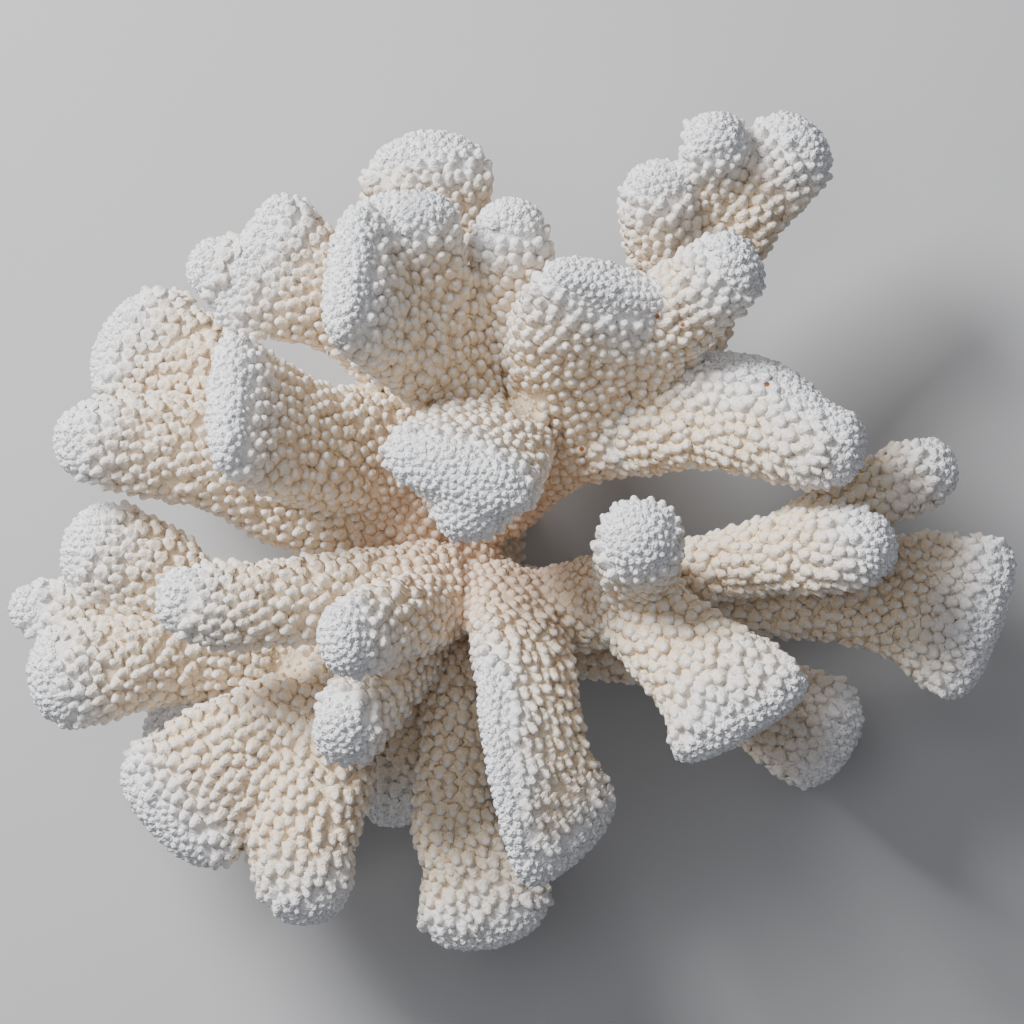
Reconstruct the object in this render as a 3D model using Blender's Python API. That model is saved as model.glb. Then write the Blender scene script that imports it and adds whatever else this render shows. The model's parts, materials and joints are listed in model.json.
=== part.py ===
"""Branching coral skeleton: a cleaned colony with a sawn foot, flat fans, blades and fingers.

Metres, +Z up. The origin is the centre of the flat cut under the foot, +X runs along the
longest spread, and the colony is read from above with +Y as north. Tables are in millimetres.
"""

import math
import random
from collections import namedtuple

import bmesh
import bpy
from mathutils import Matrix, Vector, kdtree

MM = 0.001

# Driving dimensions, in millimetres
SPREAD_SCALE = 1.0  # 1.0 makes the colony about 257 mm across
WART_HEIGHT = 2.2  # how far a wart stands off the limb
WART_SPACING = 7.4  # nearest distance between two wart tips
WART_RADIUS = 3.7  # foot of a wart
SKIN_INSET = 1.8  # the skin lies this far inside the wart tips that the tables are measured to
KERF = 0.3  # gap where two pieces meet at a fork
FORK_FILLET_PASSES = 9  # smoothing that rounds the crotch between limbs
SKIN_VOXEL = 1.9  # grid on which the limbs are fused
RING_STEP = 3.0  # distance between two rings of a limb
RING_POINTS = 20
SECTION_POWER = 2.3  # 2 is an ellipse, more is squarer
COLONY_TRIANGLES = 7300
CUT_BOARD = 400.0  # side of the block that saws the foot flat
RANDOM_SEED = 7
FOOT_X = -12.0  # the tables are measured from the main fork, and the foot stands this far west of it

CORAL_WHITE = (0.83, 0.80, 0.74)
CORAL_ROUGHNESS = 0.85

# A limb's stations are (x, y, z, half width, half thickness), measured to the wart tips.
# ridge is the compass of its wide side seen from above, in degrees from +X, and tilt lifts
# that side out of the level. cap is how far the tip runs past the last station, and blunt its
# squareness.
Limb = namedtuple("Limb", "stations ridge tilt cap blunt", defaults=(0, 9, 2.4))
# A saw cut is a thin oval disc across a limb: its centre (x, y, z), the heading and climb of the
# limb there, half its width and half its height, and its roll about the limb.
Piece = namedtuple("Piece", "limbs saw", defaults=(None,))

FOOT = Limb(
    [(-12, 0, -4, 32, 27), (-13, 0, 8, 29, 24), (-14, 0, 20, 27, 21.5), (-14, 1, 34, 27, 21),
     (-12, 2, 44, 25, 20)],
    ridge=90, cap=8,
)

PIECES = {
    "foot": Piece([FOOT]),
    "west_bough": Piece(
        [
            Limb([(0, 6, 34, 16, 13), (-20, 9, 46, 18, 13), (-44, 13, 54, 16.5, 11),
                  (-62, 20, 62, 14, 10), (-80, 23.5, 68, 13.5, 9.5), (-92, 24.5, 71, 12, 9),
                  (-98, 24.5, 72, 10.5, 8)], ridge=96, cap=8),
            Limb([(-48, 20, 48, 11, 9), (-66, 37, 45, 15, 9), (-82.5, 47, 43, 19.5, 9)], ridge=50,
                 cap=16, blunt=2.1),
            Limb([(-16, 16, 44, 15, 12), (-26, 21, 54, 17.5, 12), (-38, 23, 66, 16.5, 10.5),
                  (-49, 28, 82, 18.5, 8.5), (-59, 34, 98, 20.5, 7)], ridge=99, cap=7, blunt=3),
        ],
        saw=(-37, 16, 58, 169, 17, 27, 20, -15),
    ),
    "north_west_fan": Piece(
        [
            Limb([(-8, 26, 42, 12, 10), (-20, 46, 52, 11, 9.5), (-34, 59.5, 59, 13.5, 9),
                  (-44, 65, 62, 17.5, 8.5), (-54, 70, 64, 21.5, 8.5)], ridge=36, cap=8, blunt=2.5),
            Limb([(-46, 64, 60, 9, 8), (-57, 66.5, 62, 9.5, 8.5), (-65.5, 68.5, 63, 9.5, 8)], ridge=90,
                 cap=8, blunt=2),
        ],
        saw=(-27.5, 53.5, 56, 167, 19, 16, 12, 0),
    ),
    "north_blade": Piece(
        [
            Limb([(4, 34, 46, 14, 12), (-6, 46, 64, 17, 11), (-19, 56, 84, 19, 9),
                  (-29.5, 65, 103, 20.5, 7.5)], ridge=94, cap=7, blunt=3),
            Limb([(-2, 44, 54, 12, 10), (-12, 61, 72, 13.5, 9), (-17.5, 79, 88, 16, 8.5)], ridge=-8,
                 cap=9),
        ],
        saw=(-12.5, 55.5, 79, 144, 66, 20, 27.5, -45),
    ),
    "north_lobe": Piece(
        [Limb([(6, 36, 42, 12, 10), (-4, 58, 46, 11, 9.5), (-9, 76, 50, 14, 9),
               (-11.5, 90.5, 55, 18, 9)], ridge=10, cap=15, blunt=2.1)],
        saw=(-4.5, 62.5, 47.5, 123, -4, 15, 12, -15),
    ),
    "crown_ridge": Piece(
        [
            Limb([(9, 26, 46, 13, 12), (4, 24, 75, 17, 11), (-3, 16.5, 108, 21, 9.5)], ridge=-17, cap=8,
                 blunt=3),
            Limb([(1, 18, 80, 10, 9), (-0.5, 7, 104, 10.5, 9)], ridge=0, cap=9, blunt=2),
        ],
        saw=(3.5, 23, 80, 238, 74, 21, 15.5, 0),
    ),
    "north_east_plate": Piece(
        [
            Limb([(4, 8, 34, 12, 12), (17, 21, 44, 13, 13), (31, 30, 53, 15.5, 14),
                  (46, 30, 60, 14, 12)], ridge=124, cap=8),
            Limb([(26, 28, 50, 16, 13), (28, 44, 68, 20, 12), (31, 54, 82, 21.5, 10),
                  (35, 61, 90, 19.5, 8)], ridge=0, cap=8, blunt=3),
            Limb([(40, 44, 66, 12, 11), (50, 56, 80, 12, 11), (58, 62.5, 88, 11.5, 10.5),
                  (63.5, 67, 92, 11, 10)], ridge=120, cap=9),
        ],
        saw=(35, 53.5, 80, 68, 52, 36.5, 17, 30),
    ),
    "north_finger": Piece(
        [Limb([(24, 30, 48, 11, 10), (15.5, 50, 60, 11.5, 9.5), (10.5, 66, 72, 11.5, 9),
               (9.7, 78, 79, 10.5, 8.5)], ridge=0, cap=9, blunt=2)],
        saw=(10.5, 71, 75, 64, 30, 15, 10.5, 15),
    ),
    "east_finger": Piece(
        [Limb([(42, 29, 58, 14, 12), (57, 33, 68, 15.5, 11.5), (71, 31, 77, 16, 11),
               (84, 24.5, 83, 12.5, 10.5), (90, 23, 85, 11.5, 9.5)], ridge=80, cap=9)],
        saw=(58, 33.5, 68, -12, 18, 20, 16, 0),
    ),
    "far_fork": Piece(
        [
            Limb([(44, 30, 44, 12, 11), (52, 48, 44, 12, 10.5), (58, 66, 47, 12, 10),
                  (65, 79, 50, 12, 10), (73, 90, 54, 12.5, 10), (81.5, 99, 58, 12.5, 9.5)], ridge=130,
                 cap=9, blunt=2),
            Limb([(64, 82, 50, 10, 9.5), (62, 94, 58, 9.5, 9), (61, 100.5, 66, 9.5, 9)], ridge=0, cap=9,
                 blunt=2),
            Limb([(56, 62, 47, 10, 9.5), (48, 76, 53, 10.5, 9.5), (47, 88.5, 61, 10.5, 9)], ridge=0,
                 cap=9, blunt=2),
        ],
        saw=(49, 42, 44, 66, -15, 15, 13.5, 15),
    ),
    "east_bough": Piece(
        [
            Limb([(0, -14, 36, 13, 12), (14, -19, 46, 12, 12), (28, -16, 56, 12.5, 11.5),
                  (41, -14, 64, 11.5, 11)], ridge=90, cap=8),
            Limb([(40, -13, 66, 11, 11), (41, -6, 86, 11, 11), (41, 0.5, 104, 11.5, 11.5)], ridge=0,
                 cap=10, blunt=2),
        ],
        saw=(25.5, -17, 54.5, 16, 19, 15, 16, -30),
    ),
    "east_fan": Piece(
        [Limb([(40, -15, 68, 12, 11), (46, -22, 80, 12.5, 10.5), (55, -30, 88, 14.5, 9.5),
               (62, -37, 93, 18, 9), (65.5, -42.5, 95, 21.5, 8.5)], ridge=48, cap=8, blunt=2.6)],
        saw=(47, -22.5, 80, -44, 27, 15.5, 14, 30),
    ),
    "east_arm": Piece(
        [
            Limb([(38, -13, 58, 11, 10), (57, -8, 62, 9, 9), (74, -4, 69, 10, 9.5),
                  (88, -2.5, 77, 11.5, 10.5), (98, -1.5, 82, 10.5, 10)], ridge=90, cap=9, blunt=2.1),
            Limb([(80, 0, 66, 9, 9), (98, 10, 60, 9.5, 8.5), (108, 14.5, 59, 10, 8.5),
                  (117, 18.5, 59, 9.5, 8)], ridge=115, cap=7, blunt=2),
        ],
        saw=(59, -7.5, 63, 29, 33, 10.5, 12, -45),
    ),
    "outer_east_fan": Piece(
        [Limb([(50, -12, 48, 9, 9), (76, -15, 47, 10, 9), (97, -15.5, 49, 12.5, 9),
               (111, -15, 52, 18, 9), (126.5, -20, 55, 23.5, 8.5)], ridge=69, cap=9, blunt=2.8)],
        saw=(65, -14.5, 47.5, -7, -3, 11.5, 13, 30),
    ),
    "low_east_lobe": Piece(
        [Limb([(8, -14, 24, 11, 10), (30, -26, 29, 10, 9.5), (48, -29, 32, 10, 9),
               (66, -37, 35, 11.5, 9), (78, -44, 37, 14, 9), (88, -49.5, 38, 16, 8.5)], ridge=62,
              cap=12, blunt=2.5)],
        saw=(26, -24, 28.5, -27, -4, 13, 14, -45),
    ),
    "south_finger": Piece(
        [Limb([(-4, -12, 38, 11, 11), (-4, -38, 46, 9.5, 9.5), (-4.5, -58, 50, 9.5, 9.5),
               (-5, -71, 51, 11.5, 9), (0, -81, 51, 14, 9.5), (3, -92.5, 51, 18.5, 9.5)], ridge=0,
              cap=13, blunt=2.3)],
        saw=(-3.5, -39, 46.5, -91, 14, 12.5, 11, -15),
    ),
    "south_blade": Piece(
        [Limb([(7, -12, 54, 12, 10), (12, -28, 74, 12.5, 9), (13, -46, 86, 13.5, 8.5),
               (17, -62, 89, 16, 8.5), (22.5, -72.5, 86, 19, 8.5)], ridge=0, tilt=-35, cap=9,
              blunt=2.6)],
        saw=(11, -24.5, 70.5, -90, 48, 15.5, 12, 0),
    ),
    "south_west_bough": Piece(
        [
            Limb([(-6, -10, 36, 14, 13), (-18, -22, 44, 14, 12.5), (-30, -36, 52, 13.5, 12),
                  (-38, -49, 58, 14, 12), (-40, -61, 62, 15, 12), (-43, -77, 64, 14.5, 11.5),
                  (-41.5, -87.5, 64, 12.5, 11)], ridge=-20, cap=11, blunt=2.1),
            Limb([(-28, -38, 52, 12, 10.5), (-46, -46, 60, 13, 9.5), (-60, -55, 64, 17, 9),
                  (-73, -66.5, 65, 20.5, 9)], ridge=110, cap=12, blunt=2.4),
        ],
        saw=(-42, -48.5, 60.5, -122, 6, 27, 17, -15),
    ),
    "west_finger": Piece(
        [Limb([(-6, -11, 58, 13, 11), (-30, -14, 75, 12, 10), (-48, -15.5, 85, 11.5, 9),
               (-62, -16, 89, 11.5, 8.5), (-71.5, -14.5, 90, 10, 8)], ridge=90, cap=8)],
        saw=(-36, -14, 78.5, -160, 31, 16, 12.5, 0),
    ),
    "inner_knob": Piece(
        [Limb([(-7, -15, 60, 12, 10), (-17, -19, 82, 11, 9), (-30.5, -24, 103, 11, 8.5)], ridge=95,
              cap=8, blunt=2.5)],
        saw=(-20, -20.5, 87.5, -130, 72, 12.5, 11, -15),
    ),
    "inner_lobe": Piece(
        [Limb([(-14, -24, 54, 11, 10.5), (-26, -40, 76, 11.5, 10), (-31.5, -46.5, 87, 11.5, 9.5)],
              ridge=75, cap=9, blunt=2)],
        saw=(-27, -41, 77, -98, 65, 13, 15, -15),
    ),
    "low_south_west_lobe": Piece(
        [Limb([(-16, -26, 30, 10, 9), (-50, -44, 36, 10, 9), (-68, -50, 38, 10.5, 8.5),
               (-78, -50.5, 39, 11.5, 8)], ridge=90, cap=8, blunt=2.5)],
        saw=(-45.5, -41.5, 36, -123, -6, 17, 13, -45),
    ),
    "low_south_stub": Piece(
        [Limb([(-8, -22, 26, 11, 10), (-16, -42, 24, 10, 9.5), (-20, -56, 23, 9.5, 9),
               (-21, -68.5, 23, 9.5, 8.5)], ridge=0, cap=8, blunt=2)],
        saw=(-14, -39.5, 24.5, -81, -20, 16, 11, -30),
    ),
    "far_west_bough": Piece(
        [
            Limb([(-8, -14, 38, 13, 12), (-34, -26, 45, 12, 11), (-56, -28.5, 50, 11.5, 10),
                  (-76, -30, 56, 12, 10.5), (-88, -32, 62, 12.5, 11), (-102, -34.5, 66, 14, 10.5)],
                 ridge=90, cap=11, blunt=2.1),
            Limb([(-62, -24, 54, 10, 10), (-79, -9.5, 58, 13, 10), (-94, -2, 60, 14, 10)], ridge=55,
                 cap=11, blunt=2),
            Limb([(-72, -24, 54, 10, 9.5), (-88, -19, 54, 8.5, 8.5), (-102, -18, 55, 8.5, 8),
                  (-111, -17.5, 56, 8.5, 8)], ridge=90, cap=8, blunt=2),
        ],
        saw=(-53.5, -28.5, 49.5, 153, -2, 17, 13.5, 15),
    ),
}


def clear_scene():
    for obj in list(bpy.data.objects):
        bpy.data.objects.remove(obj)


def spline(stations, t):
    """The station at t, from 0 to the last index, on a smooth curve through all of them."""
    i = min(int(t), len(stations) - 2)
    f = t - i
    a, b, c, d = (stations[min(max(k, 0), len(stations) - 1)] for k in (i - 1, i, i + 1, i + 2))
    return [
        0.5 * (2 * q + (r - p) * f + (2 * p - 5 * q + 4 * r - s) * f * f + (3 * q - p - 3 * r + s) * f**3)
        for p, q, r, s in zip(a, b, c, d)
    ]


def sample_limb(limb, step=RING_STEP):
    """Stations about a step apart, each as (centre, half width, half thickness)."""
    samples = []
    for i in range(len(limb.stations) - 1):
        a, b = (Vector(s[:3]) for s in limb.stations[i : i + 2])
        count = max(2, round((b - a).length / step))
        samples += [spline(limb.stations, i + k / count) for k in range(count)]
    samples.append(list(limb.stations[-1]))
    return [(Vector(s[:3]), s[3], s[4]) for s in samples]


def wide_axis(limb, along):
    """The unit vector across the limb's wide side, square to its run."""
    turn, lift = math.radians(limb.ridge), math.radians(limb.tilt)
    heading = Vector((math.cos(turn) * math.cos(lift), math.sin(turn) * math.cos(lift), math.sin(lift)))
    return (heading - along * heading.dot(along)).normalized()


def ring(limb, centre, along, half_width, half_thickness):
    """The points of one rounded section."""
    wide = wide_axis(limb, along)
    thin = along.cross(wide)
    points = []
    for k in range(RING_POINTS):
        angle = 2 * math.pi * k / RING_POINTS
        c, s = math.cos(angle), math.sin(angle)
        u = math.copysign(abs(c) ** (2 / SECTION_POWER), c)
        v = math.copysign(abs(s) ** (2 / SECTION_POWER), s)
        points.append(centre + wide * (u * half_width) + thin * (v * half_thickness))
    return points


def limb_rings(limb):
    """Every ring from the root to the rounded tip."""
    samples = sample_limb(limb)
    rings = []
    for i, (centre, width, thickness) in enumerate(samples):
        before, after = samples[max(i - 1, 0)][0], samples[min(i + 1, len(samples) - 1)][0]
        along = (after - before).normalized()
        rings.append(ring(limb, centre, along, width - SKIN_INSET, thickness - SKIN_INSET))
    centre, width, thickness = samples[-1]
    for t in (0.3, 0.55, 0.75, 0.88, 0.96, 0.995):
        shrink = (1 - t**limb.blunt) ** (1 / limb.blunt)
        tip = centre + along * ((limb.cap - SKIN_INSET) * t)
        half_width = (width - SKIN_INSET) * shrink
        half_thickness = (thickness - SKIN_INSET) * shrink
        rings.append(ring(limb, tip, along, half_width, half_thickness))
    return rings


def add_limb(bm, limb):
    """Adds a limb to the mesh as one closed tube."""
    loops = [[bm.verts.new(p * MM * SPREAD_SCALE) for p in points] for points in limb_rings(limb)]
    for lower, upper in zip(loops, loops[1:]):
        for k in range(RING_POINTS):
            n = (k + 1) % RING_POINTS
            bm.faces.new((lower[k], lower[n], upper[n], upper[k]))
    bm.faces.new(reversed(loops[0]))
    bm.faces.new(loops[-1])


def new_object(name, mesh):
    obj = bpy.data.objects.new(name, mesh)
    bpy.context.scene.collection.objects.link(obj)
    return obj


def bake_modifiers(obj):
    """Puts the result of the object's modifiers into its mesh."""
    graph = bpy.context.evaluated_depsgraph_get()
    graph.update()
    mesh = bpy.data.meshes.new_from_object(obj.evaluated_get(graph))
    obj.modifiers.clear()
    obj.data = mesh


def fused_skin():
    """All limbs grown together into one smooth skin, without warts."""
    bm = bmesh.new()
    for piece in PIECES.values():
        for limb in piece.limbs:
            add_limb(bm, limb)
    bmesh.ops.recalc_face_normals(bm, faces=bm.faces)
    mesh = bpy.data.meshes.new("skin")
    bm.to_mesh(mesh)
    bm.free()
    skin = new_object("skin", mesh)
    remesh = skin.modifiers.new("fuse", "REMESH")
    remesh.mode = "VOXEL"
    remesh.voxel_size = SKIN_VOXEL * MM
    smooth = skin.modifiers.new("fillet", "SMOOTH")
    smooth.factor = 0.5
    smooth.iterations = FORK_FILLET_PASSES
    bake_modifiers(skin)
    return skin


def wart_centres(mesh):
    """Skin points at least a wart's spacing apart, picked in a seeded random order."""
    order = list(range(len(mesh.vertices)))
    random.Random(RANDOM_SEED).shuffle(order)
    cell = WART_SPACING * MM
    taken = {}
    centres = []
    for index in order:
        point = mesh.vertices[index].co
        key = tuple(math.floor(x / cell) for x in point)
        near = (
            other
            for dx in (-1, 0, 1)
            for dy in (-1, 0, 1)
            for dz in (-1, 0, 1)
            for other in taken.get((key[0] + dx, key[1] + dy, key[2] + dz), ())
        )
        if all((point - other).length >= cell for other in near):
            taken.setdefault(key, []).append(point)
            centres.append(point)
    return centres


def raise_warts(skin):
    """Domes the skin up round each wart centre, fused to the limb it grows from."""
    mesh = skin.data
    centres = wart_centres(mesh)
    tree = kdtree.KDTree(len(centres))
    for i, point in enumerate(centres):
        tree.insert(point, i)
    tree.balance()
    moved = []
    for vertex in mesh.vertices:
        _, _, distance = tree.find(vertex.co)
        reach = min(1, distance / (WART_RADIUS * MM))
        moved.append(vertex.co + vertex.normal * (WART_HEIGHT * MM * (1 - reach * reach) ** 1.2))
    for vertex, place in zip(mesh.vertices, moved):
        vertex.co = place
    decimate = skin.modifiers.new("facets", "DECIMATE")
    decimate.ratio = COLONY_TRIANGLES / sum(len(p.vertices) - 2 for p in mesh.polygons)
    decimate.use_collapse_triangulate = True
    bake_modifiers(skin)


def boolean(obj, cutter):
    """Cuts the hidden cutter out of obj and deletes the cutter."""
    cut = obj.modifiers.new("cut", "BOOLEAN")
    cut.operation = "DIFFERENCE"
    cut.solver = "EXACT"
    cut.object = cutter
    bake_modifiers(obj)
    bpy.data.objects.remove(cutter)


def cut_block():
    """The block below z = 0 that saws the foot flat."""
    bm = bmesh.new()
    bmesh.ops.create_cube(bm, size=CUT_BOARD * MM)
    bmesh.ops.translate(bm, verts=bm.verts, vec=(0, 0, -CUT_BOARD * MM / 2))
    mesh = bpy.data.meshes.new("cut_block")
    bm.to_mesh(mesh)
    bm.free()
    return new_object("cut_block", mesh)


def saw_blade(saw):
    """The thin oval disc of one saw cut."""
    x, y, z, heading, climb, half_width, half_height, roll = saw
    turn = Matrix.Rotation(math.radians(heading), 4, "Z") @ Matrix.Rotation(math.radians(-climb), 4, "Y")
    size = Matrix.Diagonal((KERF, half_width, half_height, 1))
    place = Matrix.Translation((x, y, z)) @ turn @ Matrix.Rotation(math.radians(roll), 4, "X") @ size
    bm = bmesh.new()
    bmesh.ops.create_cone(
        bm, cap_ends=True, segments=RING_POINTS, radius1=1, radius2=1, depth=1,
        matrix=Matrix.Scale(MM * SPREAD_SCALE, 4) @ place @ Matrix.Rotation(math.radians(90), 4, "Y"),
    )
    mesh = bpy.data.meshes.new("saw_blade")
    bm.to_mesh(mesh)
    bm.free()
    return new_object("saw_blade", mesh)


def loose_parts(obj):
    """The separate bodies of a mesh, each as its own mesh."""
    bm = bmesh.new()
    bm.from_mesh(obj.data)
    bmesh.ops.triangulate(bm, faces=bm.faces)
    unseen = set(bm.verts)
    groups = []
    while unseen:
        stack = [unseen.pop()]
        group = set(stack)
        while stack:
            for edge in stack.pop().link_edges:
                for vertex in edge.verts:
                    if vertex in unseen:
                        unseen.discard(vertex)
                        group.add(vertex)
                        stack.append(vertex)
        groups.append(group)
    meshes = []
    for group in groups:
        part = bm.copy()
        keep = {v.index for v in group}
        part.verts.ensure_lookup_table()
        bmesh.ops.delete(part, geom=[v for v in part.verts if v.index not in keep], context="VERTS")
        mesh = bpy.data.meshes.new("part")
        part.to_mesh(mesh)
        part.free()
        meshes.append(mesh)
    bm.free()
    return meshes


def landmark(piece):
    """The point inside a piece by which its body is known."""
    station = piece.limbs[-1].stations[-1 if piece.saw is not None else 1]
    return Vector(station[:3]) * MM * SPREAD_SCALE


def coral_material(name):
    material = bpy.data.materials.new(name)
    material.use_nodes = True
    shader = material.node_tree.nodes["Principled BSDF"]
    shader.inputs["Base Color"].default_value = (*CORAL_WHITE, 1)
    shader.inputs["Roughness"].default_value = CORAL_ROUGHNESS
    shader.inputs["Metallic"].default_value = 0.0
    return material


def name_parts(colony):
    """Makes one named object for each piece of the sawn colony."""
    meshes = loose_parts(colony)
    trees = []
    for mesh in meshes:
        tree = kdtree.KDTree(len(mesh.vertices))
        for vertex in mesh.vertices:
            tree.insert(vertex.co, vertex.index)
        tree.balance()
        trees.append(tree)
    bpy.data.objects.remove(colony)
    print(len(meshes), "bodies for", len(PIECES), "pieces")
    for name, piece in PIECES.items():
        point = landmark(piece)
        nearest = min(range(len(meshes)), key=lambda i: trees[i].find(point)[2])
        meshes[nearest].transform(Matrix.Translation((-FOOT_X * MM * SPREAD_SCALE, 0, 0)))
        obj = new_object(name, meshes[nearest])
        obj.data.materials.append(coral_material(name))


def main():
    clear_scene()
    colony = fused_skin()
    raise_warts(colony)
    boolean(colony, cut_block())
    for piece in PIECES.values():
        if piece.saw is not None:
            boolean(colony, saw_blade(piece.saw))
    name_parts(colony)


main()
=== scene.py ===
"""Branching coral: smooth limbs grown together, covered in fine warts, with porous white ridges."""
import json
import math

import bpy
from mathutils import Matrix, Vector
from mathutils.bvhtree import BVHTree

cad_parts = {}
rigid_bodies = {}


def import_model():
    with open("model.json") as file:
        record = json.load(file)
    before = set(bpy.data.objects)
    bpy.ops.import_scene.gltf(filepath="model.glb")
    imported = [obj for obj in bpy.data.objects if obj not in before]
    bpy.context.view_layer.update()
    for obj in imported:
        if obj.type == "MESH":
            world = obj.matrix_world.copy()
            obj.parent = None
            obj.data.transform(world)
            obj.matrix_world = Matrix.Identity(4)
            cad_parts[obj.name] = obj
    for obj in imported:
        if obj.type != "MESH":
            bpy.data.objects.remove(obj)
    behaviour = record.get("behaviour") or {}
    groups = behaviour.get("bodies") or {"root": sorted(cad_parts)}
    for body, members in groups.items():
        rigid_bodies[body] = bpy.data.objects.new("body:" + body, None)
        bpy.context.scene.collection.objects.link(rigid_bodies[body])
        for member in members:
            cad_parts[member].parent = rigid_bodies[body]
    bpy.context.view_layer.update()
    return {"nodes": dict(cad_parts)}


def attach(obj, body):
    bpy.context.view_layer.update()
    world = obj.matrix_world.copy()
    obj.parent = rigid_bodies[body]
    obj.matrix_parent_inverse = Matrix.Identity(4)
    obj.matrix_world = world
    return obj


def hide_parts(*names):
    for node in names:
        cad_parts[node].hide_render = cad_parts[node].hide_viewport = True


bl_info = {
    "name": "Branching Coral",
    "version": (1, 0, 0),
    "blender": (4, 5, 0),
    "location": "View3D > Sidebar > Coral",
    "description": "Grows the skin, warts and colours of a dry branching coral round its solids",
    "category": "Object",
}

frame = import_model()

MM = 0.001
SHIFT_X = 12.0  # the tables are measured from the main fork, 12 mm east of the frame's origin

# Photograph's view: a camera straight above, with the photo's own scale at the height of the tips
VIEW_CENTRE = (0.022, 0.007)
VIEW_PLANE_Z = 0.070
VIEW_DISTANCE = 1.3
VIEW_WIDTH = 0.256
SENSOR = 36.0

# Each limb: stations (x, y, z, half width, half thickness) in millimetres, measured to the wart
# tips, then the compass and lift of its wide side in degrees, how far the tip runs past the last
# station and the tip's squareness. A sixth value is 1 or -1 where that edge is crusted all along
# like a tip, and BURIED where the tip lies inside the coral.
BURIED = 2
FOOT_LIMBS = [
    ([(-12, 0, -4, 32, 27), (-13, 0, 8, 29, 24), (-14, 0, 20, 27, 21.5), (-14, 1, 34, 27, 21),
      (-12, 2, 44, 25, 20)], 90, 0, 8, 2.4, BURIED),
]
NORTH_LIMBS = [
    ([(-8, 26, 42, 12, 10), (-20, 46, 52, 11, 9.5), (-34, 59.5, 59, 13.5, 9), (-44, 65, 62, 17.5, 8.5),
      (-54, 70, 64, 21.5, 8.5)], 36, 0, 8, 2.5),
    ([(-46, 64, 60, 9, 8), (-57, 66.5, 62, 9.5, 8.5), (-65.5, 68.5, 63, 9.5, 8)], 90, 0, 8, 2),
    ([(4, 34, 46, 14, 12), (-6, 46, 64, 17, 11), (-19, 56, 84, 19, 9), (-29.5, 65, 103, 20.5, 7.5)],
     94, 0, 7, 3),
    ([(-2, 44, 54, 12, 10), (-12, 61, 72, 13.5, 9), (-17.5, 79, 88, 16, 8.5)], -8, 0, 9, 2.4),
    ([(6, 36, 42, 12, 10), (-4, 58, 46, 11, 9.5), (-9, 76, 50, 14, 9), (-11.5, 90.5, 55, 18, 9)],
     10, 0, 15, 2.1),
    ([(9, 26, 46, 13, 12), (4, 24, 75, 17, 11), (-3, 16.5, 108, 21, 9.5)], -17, 0, 8, 3),
    ([(1, 18, 80, 10, 9), (-0.5, 7, 104, 10.5, 9)], 0, 0, 9, 2),
    ([(24, 30, 48, 11, 10), (15.5, 50, 60, 11.5, 9.5), (10.5, 66, 72, 11.5, 9), (9.7, 78, 79, 10.5, 8.5)],
     0, 0, 9, 2),
]
EAST_LIMBS = [
    ([(4, 8, 34, 12, 12), (17, 21, 44, 13, 13), (31, 30, 53, 15.5, 14), (46, 30, 60, 14, 12)],
     124, 0, 8, 2.4),
    ([(26, 28, 50, 16, 13), (28, 44, 68, 20, 12), (31, 54, 82, 21.5, 10), (35, 61, 90, 20.5, 8)],
     0, 0, 7.5, 4.5),
    ([(40, 44, 66, 12, 11), (50, 56, 80, 12, 11), (58, 62.5, 88, 11.5, 10.5), (63.5, 67, 92, 11, 10)],
     120, 0, 9, 2.4),
    ([(42, 29, 58, 14, 12), (57, 33, 68, 15.5, 11.5), (71, 31, 77, 16, 11), (84, 24.5, 83, 12.5, 10.5),
      (90, 23, 85, 11.5, 9.5)], 80, 0, 9, 2.4, 1),
    ([(44, 30, 44, 12, 11), (52, 48, 44, 12, 10.5), (58, 66, 47, 12, 10), (65, 79, 50, 12, 10),
      (73, 90, 54, 12.5, 10), (81.5, 99, 58, 12.5, 9.5)], 130, 0, 9, 2),
    ([(64, 82, 50, 10, 9.5), (62, 94, 58, 9.5, 9), (61, 100.5, 66, 9.5, 9)], 0, 0, 9, 2),
    ([(56, 62, 47, 10, 9.5), (48, 76, 53, 10.5, 9.5), (47, 88.5, 61, 10.5, 9)], 0, 0, 9, 2),
    ([(0, -14, 36, 13, 12), (14, -19, 46, 12, 12), (28, -16, 56, 12.5, 11.5), (41, -14, 64, 11.5, 11)],
     90, 0, 8, 2.4, BURIED),
    ([(40, -13, 66, 11, 11), (41, -6, 86, 11, 11), (41, 0.5, 104, 11.5, 11.5)], 0, 0, 10, 2),
    ([(40, -15, 68, 12, 11), (46, -22, 80, 12.5, 10.5), (55, -30, 88, 14.5, 9.5), (62, -37, 93, 18, 9),
      (65.5, -42.5, 95, 21.5, 8.5)], 48, 0, 8, 2.6),
    ([(38, -13, 58, 11, 10), (57, -8, 62, 9, 9), (74, -4, 69, 10, 9.5), (88, -2.5, 77, 11.5, 10.5),
      (98, -1.5, 82, 10.5, 10)], 90, 0, 9, 2.1),
    ([(80, 0, 66, 9, 9), (98, 10, 60, 9.5, 8.5), (108, 14.5, 59, 10, 8.5), (117, 18.5, 59, 9.5, 8)],
     115, 0, 7, 2),
    ([(50, -12, 48, 9, 9), (76, -15, 47, 10, 9), (97, -15.5, 49, 12.5, 9), (111, -15, 52, 18, 9),
      (126.5, -20, 55, 23.5, 8.5)], 69, 0, 9, 2.8),
    ([(8, -14, 24, 11, 10), (30, -26, 29, 10, 9.5), (48, -29, 32, 10, 9), (66, -37, 35, 11.5, 9),
      (78, -44, 37, 14, 9), (88, -49.5, 38, 16, 8.5)], 62, 0, 12, 2.5),
]
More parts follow.
